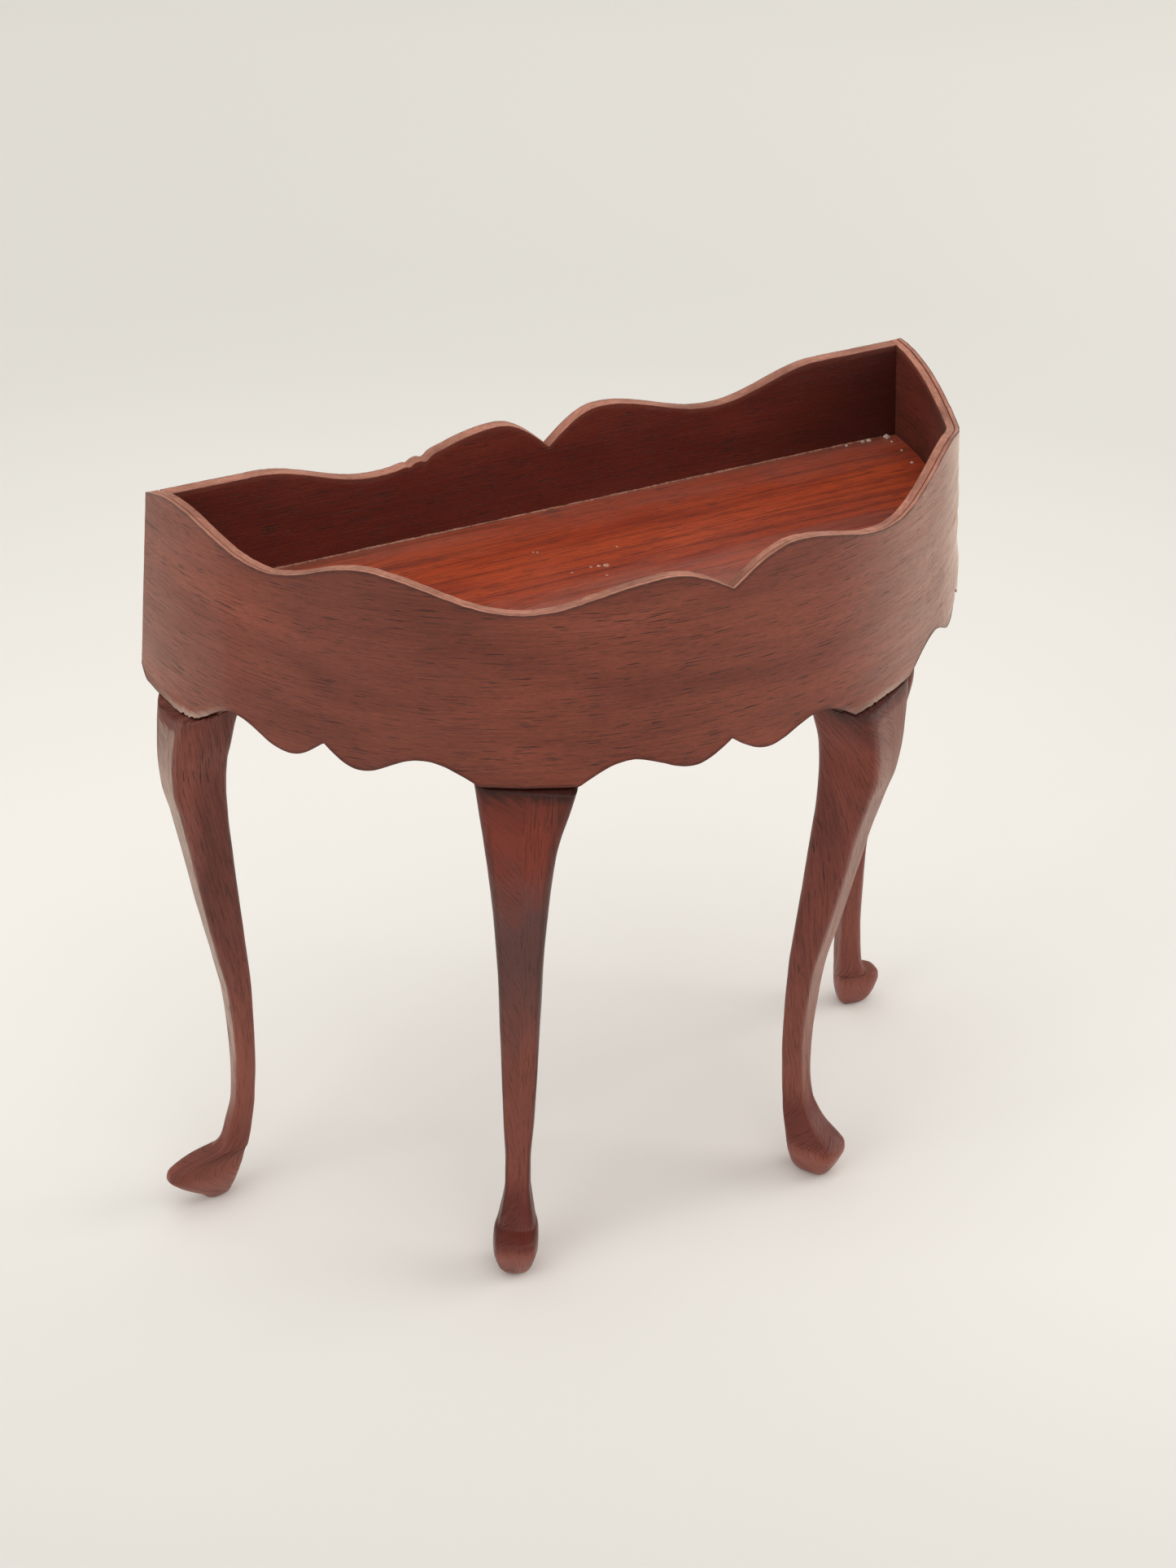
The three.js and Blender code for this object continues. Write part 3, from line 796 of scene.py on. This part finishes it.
back_panel = board(
    "back_board", stations(PANEL_TOP, WIDTH, 420), panel_top, panel_bottom, panel_point,
    (0.02, PANEL), panel_wave, panel_wood,
)
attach(back_panel, "root")
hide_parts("back_panel")

for node in ("tray_floor", "peg_back_left", "peg_front_left", "peg_front_right", "peg_back_right"):
    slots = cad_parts[node].data.materials
    slots.clear()
    slots.append(tray_wood if node == "tray_floor" else peg_wood)

# ---- glue along the tray's back joint and flecks on the tray ---------------------------------


def glue_bead():
    """A thin uneven fillet in the corner between the tray and the back."""
    left, right = -35.6, 35.9
    steps, arc_steps = 420, 4
    sides = arc_steps + 2
    rings, along, around = [], [], []
    for i in range(steps + 1):
        x = left + (right - left) * i / steps
        radius = 0.13 + 0.05 * ripple(x * 0.8, 0, 41) + 0.035 * ripple(x * 4, 0, 42)
        radius = max(radius, 0.05) * (1 - 0.7 * abs(2 * i / steps - 1) ** 12)
        angles = [math.pi / 2 * j / arc_steps for j in range(arc_steps + 1)]
        arc = [(-math.cos(angle) * radius, math.sin(angle) * radius) for angle in angles]
        corner = Vector((x, -PANEL - 0.015, TRAY_TOP + 0.01))  # clear of the panel and tray
        rings.append([corner + Vector((0, y, z)) for y, z in arc + [(0, 0)]])
        along.append(x)
        around.append([(0.1 * j, 0.1 * j + 0.1) for j in range(sides)])
    return loft("glue_bead", rings, along, around, {}, glue_seam)


def drops(name, spots, material, flat, seed):
    """Small uneven lumps on the tray: (x, y, radius) from the middle of the back face."""
    edit = bmesh.new()
    for number, (x, y, radius) in enumerate(spots):
        made = bmesh.ops.create_icosphere(edit, subdivisions=3, radius=1)
        for vertex in made["verts"]:
            bump = 1 + 0.22 * ripple(vertex.co.x * 1.4 + number * 9, vertex.co.y * 1.4, seed)
            place = vertex.co * radius * bump
            place.z = max(place.z * flat, 0) + 0.01
            vertex.co = (place + Vector((x + CENTRE_X, y + BACK_Y, TRAY_TOP))) * MM
    bmesh.ops.remove_doubles(edit, verts=edit.verts, dist=0.002 * MM)
    return smooth_piece(name, bpy.data.meshes.new(name), edit, material)


glue_spots = [
    (36.2, -1.6, 0.34), (34.2, -1.55, 0.28), (33.5, -1.5, 0.2), (31.7, -1.5, 0.15),
    (36.1, -2.6, 0.14), (35.9, -4.6, 0.13), (35.3, -7.3, 0.16),
]
flecks = [
    (2.12, -10.33, 0.13), (-0.44, -13.06, 0.3), (-1.1, -12.9, 0.2), (-1.81, -12.75, 0.15),
    (-3.79, -12.98, 0.12), (-1.25, -14.71, 0.12), (-4.77, -8.25, 0.14), (-5.1, -8.1, 0.1),
]
extras = [
    glue_bead(),
    drops("glue_drops", glue_spots, dried_glue, 0.9, 43),
    drops("tray_flecks", flecks, pale_fleck, 0.35, 44),
]
for extra in extras:
    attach(extra, "root")

# ---- legs ------------------------------------------------------------------------------------

LEG_SIDES = 96
ANGLES = [2 * math.pi * (j + 0.5) / LEG_SIDES for j in range(LEG_SIDES)]
POST_ROWS = 12
POST_CHAMFER = 0.1


def leg_rows(leg):
    """Rows of height, heel, toe and half width, a little inside the CAD leg's."""
    rows = [(z, heel + 0.04, toe - 0.06, width - 0.03) for z, heel, toe, width in leg["foot"]]
    ankle = rows[-1][0]
    for z, middle, half_depth, half_width in LEG_PROFILE:
        if z <= ankle:
            continue
        deep = half_depth * leg["bulk"] - 0.03
        toe = middle + deep - leg["tuck"] * smoothstep(z, 38, 45)
        rows.append((z, middle - deep, toe, half_width * leg["bulk"]))
    return rows


def row_slope(rows, k, column):
    """Slope at a row: level at the first row and at turns, else the mean of both sides.

    It is the harmonic mean, and at the last row the slope from the row before.
    """
    if k == 0:
        return 0
    before = (rows[k][column] - rows[k - 1][column]) / (rows[k][0] - rows[k - 1][0])
    if k == len(rows) - 1:
        return before
    after = (rows[k + 1][column] - rows[k][column]) / (rows[k + 1][0] - rows[k][0])
    if before * after <= 0:
        return 0
    return 2 * before * after / (before + after)


def between_rows(rows, z):
    """Heel, toe and half width at a height: smooth between the rows, without overshoot."""
    i = min(max(bisect.bisect_right([row[0] for row in rows], z) - 1, 0), len(rows) - 2)
    gap = rows[i + 1][0] - rows[i][0]
    t = min(max((z - rows[i][0]) / gap, 0), 1)
    values = []
    for column in (1, 2, 3):
        a, b = rows[i][column], rows[i + 1][column]
        m1 = row_slope(rows, i, column) * gap
        m2 = row_slope(rows, i + 1, column) * gap
        values.append(
            (2 * t ** 3 - 3 * t ** 2 + 1) * a + (t ** 3 - 2 * t ** 2 + t) * m1
            + (3 * t ** 2 - 2 * t ** 3) * b + (t ** 3 - t ** 2) * m2
        )
    return values


def section(angle, half_depth, half_width, square, chamfer):
    """One point of a whittled section: a box with cut corners, rounder where square is low.

    Gives how far the point is outwards and across, and its arris, strip and flank_shade
    marks. flank_shade is high on the sideways faces, for painted shade.
    """
    round_power, box_power, inner_chamfer = 2.4, 18, 0.16
    out, across = math.cos(angle), math.sin(angle)
    deep, wide = abs(out) / half_depth, abs(across) / half_width
    corner = (deep + wide) / (2 - (chamfer if out > 0 else inner_chamfer))
    rounded = 1 / (deep ** round_power + wide ** round_power) ** (1 / round_power)
    whittled = 1 / (deep ** box_power + wide ** box_power + corner ** box_power) ** (1 / box_power)
    radius = rounded * (1 - square) + whittled * square
    arris = square * hump(corner / max(deep, wide), 1, 0.05)
    strip = smoothstep(deep / max(corner, wide), 0.99, 1.12) if out > 0 else 0
    flank_shade = smoothstep(wide / deep, 0.94, 1.06)
    return out * radius, across * radius, arris, strip, flank_shade


def leg_stations():
    """Height and bevel of each section, closest where the toe's ledge is."""
    heights = [0.02 + 0.28 * i / 4 for i in range(4)]
    heights += [0.3 + 3.1 * i / 26 for i in range(26)]
    heights += [3.4 + 2.4 * i / 60 for i in range(60)]
    heights += [5.8 + (SHOULDER - 0.12 - 5.8) * i / 170 for i in range(171)]
    return [(z, 0) for z in heights] + [(SHOULDER, SHOULDER_BEVEL)]


def joint_heights(leg, profile, place_at):
    """How high each side of a knee's top reaches: a gap under the front's lower edge."""
    heel, toe, half_width = between_rows(profile, SHOULDER)
    heights = []
    for angle in ANGLES:
        deep, wide, *_ = section(angle, (toe - heel) / 2, half_width, 1, leg["chamfer"])
        point = place_at((heel + toe) / 2 + deep, wide)
        every_eighth = range(0, len(PLAN_POINTS), 8)
        nearest = min(every_eighth, key=lambda i: (PLAN_POINTS[i] - point).xy.length)
        heights.append(skirt_bottom(PLAN_LENGTHS[nearest] / GIRTH) - leg["gap"])
    return heights


def ring_spans(ring):
    """Where each side of a ring starts and ends, in mm round it."""
    spans = []
    reached = 0
    for j, point in enumerate(ring):
        start = reached
        reached += (ring[(j + 1) % len(ring)] - point).length
        spans.append((start, reached))
    return spans


def carved_ring(leg, profile, joint, place_at, z, bevel):
    """One whittled section of a leg, and its edge, strip and flank_shade marks."""
    heel, toe, half_width = between_rows(profile, z)
    middle, half_depth = (heel + toe) / 2, (toe - heel) / 2
    square = 0.5 + 0.5 * smoothstep(z, 4.2, 7)
    lean = leg["side"] * leg["lean"] * smoothstep(z, 47, SHOULDER)
    whittling = 0.045 * smoothstep(z, 0.5, 3)
    ring, arrises, strips, flank_shades = [], [], [], []
    for angle, top in zip(ANGLES, joint):
        deep, wide, arris, strip, flank_shade = section(
            angle, half_depth - bevel, half_width - bevel, square, leg["chamfer"]
        )
        turn = (math.cos(angle) * 1.6 + z * 0.05, math.sin(angle) * 1.6 + z * 0.16)
        grown = 1 + whittling * ripple(*turn, leg["seed"]) / math.hypot(deep, wide)
        deep *= grown
        wide = wide * grown + lean
        point = place_at(middle + deep, wide)
        point.z = z + (top - SHOULDER) * smoothstep(z, SHOULDER - 3.5, SHOULDER)
        ring.append(point)
        arrises.append(arris if deep > abs(wide) else arris * 0.3)
        strips.append(strip * (1 - smoothstep(z, SHOULDER - 1.6, SHOULDER - 0.4)))
        flank_shades.append(flank_shade * square)
    return ring, {"edge": arrises, "strip": strips, "flank_shade": flank_shades}


def post_ring(leg, profile, joint, place_at, out, share):
    """One section of the post on a knee, kept behind the front, and the same marks.

    share is how far up the post the section is, from 0 to 1.
    """
    heel, toe, half_width = between_rows(profile, SHOULDER)
    middle, half_depth = (heel + toe) / 2, (toe - heel) / 2
    spread = leg["spread"] * min(1, 2 * share)
    ring, arrises, flank_shades = [], [], []
    for angle, top in zip(ANGLES, joint):
        deep, wide, arris, _, flank_shade = section(
            angle, half_depth, half_width + spread, 1, POST_CHAMFER
        )
        wide += leg["side"] * leg["lean"]
        reach = reach_to_front(place_at(0, wide), out, SHOULDER + share)
        point = place_at(min(middle + deep, reach - WALL - POST_CLEARANCE), wide)
        point.z = top + 0.02 + (POST_TOP - 0.04 - top) * share
        ring.append(point)
        arrises.append(arris if deep > abs(wide) else arris * 0.3)
        flank_shades.append(flank_shade)
    return ring, {"edge": arrises, "strip": [0] * LEG_SIDES, "flank_shade": flank_shades}


def carved_leg(leg):
    """A leg from its sole to its shoulder, and the post on it behind the front."""
    aim = math.radians(leg["aim"])
    knee = Vector((-leg["side"] * leg["knee"][0], leg["knee"][1], 0))
    out = Vector((-leg["side"] * math.cos(aim), -math.sin(aim), 0))
    across = Vector((-out.y, out.x, 0))

    def place_at(outwards, sideways):
        return knee + out * outwards + across * sideways

    profile = leg_rows(leg)
    joint = joint_heights(leg, profile, place_at)
    heights, sections = [], []
    for z, bevel in leg_stations():
        heights.append(z)
        sections.append(carved_ring(leg, profile, joint, place_at, z, bevel))
    for i in range(POST_ROWS + 1):
        share = i / POST_ROWS
        heights.append(SHOULDER + share)
        sections.append(post_ring(leg, profile, joint, place_at, out, share))

    rings = [ring for ring, _ in sections]
    around = [ring_spans(ring) for ring in rings]
    marks = {key: [values[key] for _, values in sections] for key in ("edge", "strip", "flank_shade")}
    marks["height"] = [[z / SHOULDER] * LEG_SIDES for z in heights]
    piece = loft("carved_leg_" + leg["name"], rings, heights, around, marks, leg_wood(leg), 50)
    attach(piece, "root")
    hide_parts("leg_" + leg["name"])


for leg in LEGS:
    carved_leg(leg)

# ---- stage, lights and camera ----------------------------------------------------------------


def stage_floor():
    """A pale floor with painted light and shade: brightest under the table, with a greyer ring
    round it, greyer in front.
    """
    half = 3
    mesh = bpy.data.meshes.new("stage_floor")
    corners = [(-half, -half, 0), (half, -half, 0), (half, half, 0), (-half, half, 0)]
    mesh.from_pydata(corners, [], [(0, 1, 2, 3)])
    shader = Shader("pale_floor")
    place = shader.node("TexCoord").outputs["Object"]
    behind = shader.node("Mapping", {"Vector": place, "Location": (0, -0.035, 0)}).outputs[0]
    distance = shader.node("VectorMath", {0: behind}, operation="LENGTH").outputs["Value"]
    near = shader.ramp(distance, 0.05, 0.16)
    pale = shader.mix(near, linear(248, 246, 242), linear(230, 228, 224))
    pale = shader.stain(shader.ramp(distance, 0.19, 0.3), pale, (238, 236, 231))
    towards_front = {0: place, 1: (-0.49, -0.87, 0)}
    ahead = shader.node("VectorMath", towards_front, operation="DOT_PRODUCT").outputs["Value"]
    pale = shader.stain(shader.ramp(ahead, 0.015, 0.055), pale, (227, 225, 221))
    soft = shader.noise(place, 9, detail=2)
    pale = shader.mix(soft, pale, shader.stain(0.12, pale, (255, 252, 246)))
    shader.put(shader.surface.inputs["Base Color"], pale)
    shader.surface.inputs["Roughness"].default_value = 0.9
    shader.surface.inputs["Specular IOR Level"].default_value = 0.1
    mesh.materials.append(shader.material)
    floor = place_object("stage_floor", mesh)


def soft_light(name, position, size, power, colour=(1, 1, 1)):
    """A rectangular lamp aimed at the middle of the table, with its place and size in metres."""
    lamp = bpy.data.lights.new(name, "AREA")
    lamp.shape = "RECTANGLE"
    lamp.size, lamp.size_y = size
    lamp.energy = power
    lamp.color = colour
    made = place_object(name, lamp)
    made.location = position
    target = Vector((0, 0, 0.04))
    made.rotation_euler = (target - Vector(position)).to_track_quat("-Z", "Y").to_euler()


stage_floor()
soft_light("top_light", (-0.05, -0.05, 0.75), (0.8, 0.8), 2.3, (1, 0.995, 0.98))
soft_light("left_light", (-0.7, -0.15, 0.3), (0.5, 0.45), 1.5)
soft_light("right_light", (0.7, -0.2, 0.3), (0.5, 0.5), 2.3, (1, 0.98, 0.95))
soft_light("front_light", (-0.25, -0.8, 0.55), (0.5, 0.4), 0.6)

world = bpy.data.worlds.new("studio")
world.use_nodes = True
background = world.node_tree.nodes["Background"]
background.inputs["Color"].default_value = linear(242, 239, 232)
background.inputs["Strength"].default_value = 0.55
bpy.context.scene.world = world
bpy.context.scene.view_settings.view_transform = "Standard"

# The camera looks at CAMERA_AIM from CAMERA_DISTANCE, both in mm, with a lens in mm too.
CAMERA_YAW = math.radians(29.149)
CAMERA_PITCH = math.radians(31.514)
CAMERA_ROLL = math.radians(1.673)
CAMERA_DISTANCE = 311.02
CAMERA_AIM = (5.653, 0, 30.851)
CAMERA_LENS = 73.877


def place_camera():
    aim = Vector(CAMERA_AIM) + Vector((CENTRE_X, BACK_Y, 0))
    back = Vector((
        -math.sin(CAMERA_YAW) * math.cos(CAMERA_PITCH),
        -math.cos(CAMERA_YAW) * math.cos(CAMERA_PITCH),
        math.sin(CAMERA_PITCH),
    ))
    level = (-back).cross(Vector((0, 0, 1))).normalized()
    upright = level.cross(-back)
    right = level * math.cos(CAMERA_ROLL) + upright * math.sin(CAMERA_ROLL)
    up = upright * math.cos(CAMERA_ROLL) - level * math.sin(CAMERA_ROLL)
    lens = bpy.data.cameras.new("camera")
    lens.lens = CAMERA_LENS
    lens.sensor_width = 36
    lens.clip_start = 0.005
    camera = place_object("camera", lens)
    turn = Matrix((right, up, back)).transposed().to_4x4()
    camera.matrix_world = Matrix.Translation((aim + back * CAMERA_DISTANCE) * MM) @ turn
    bpy.context.scene.camera = camera


place_camera()
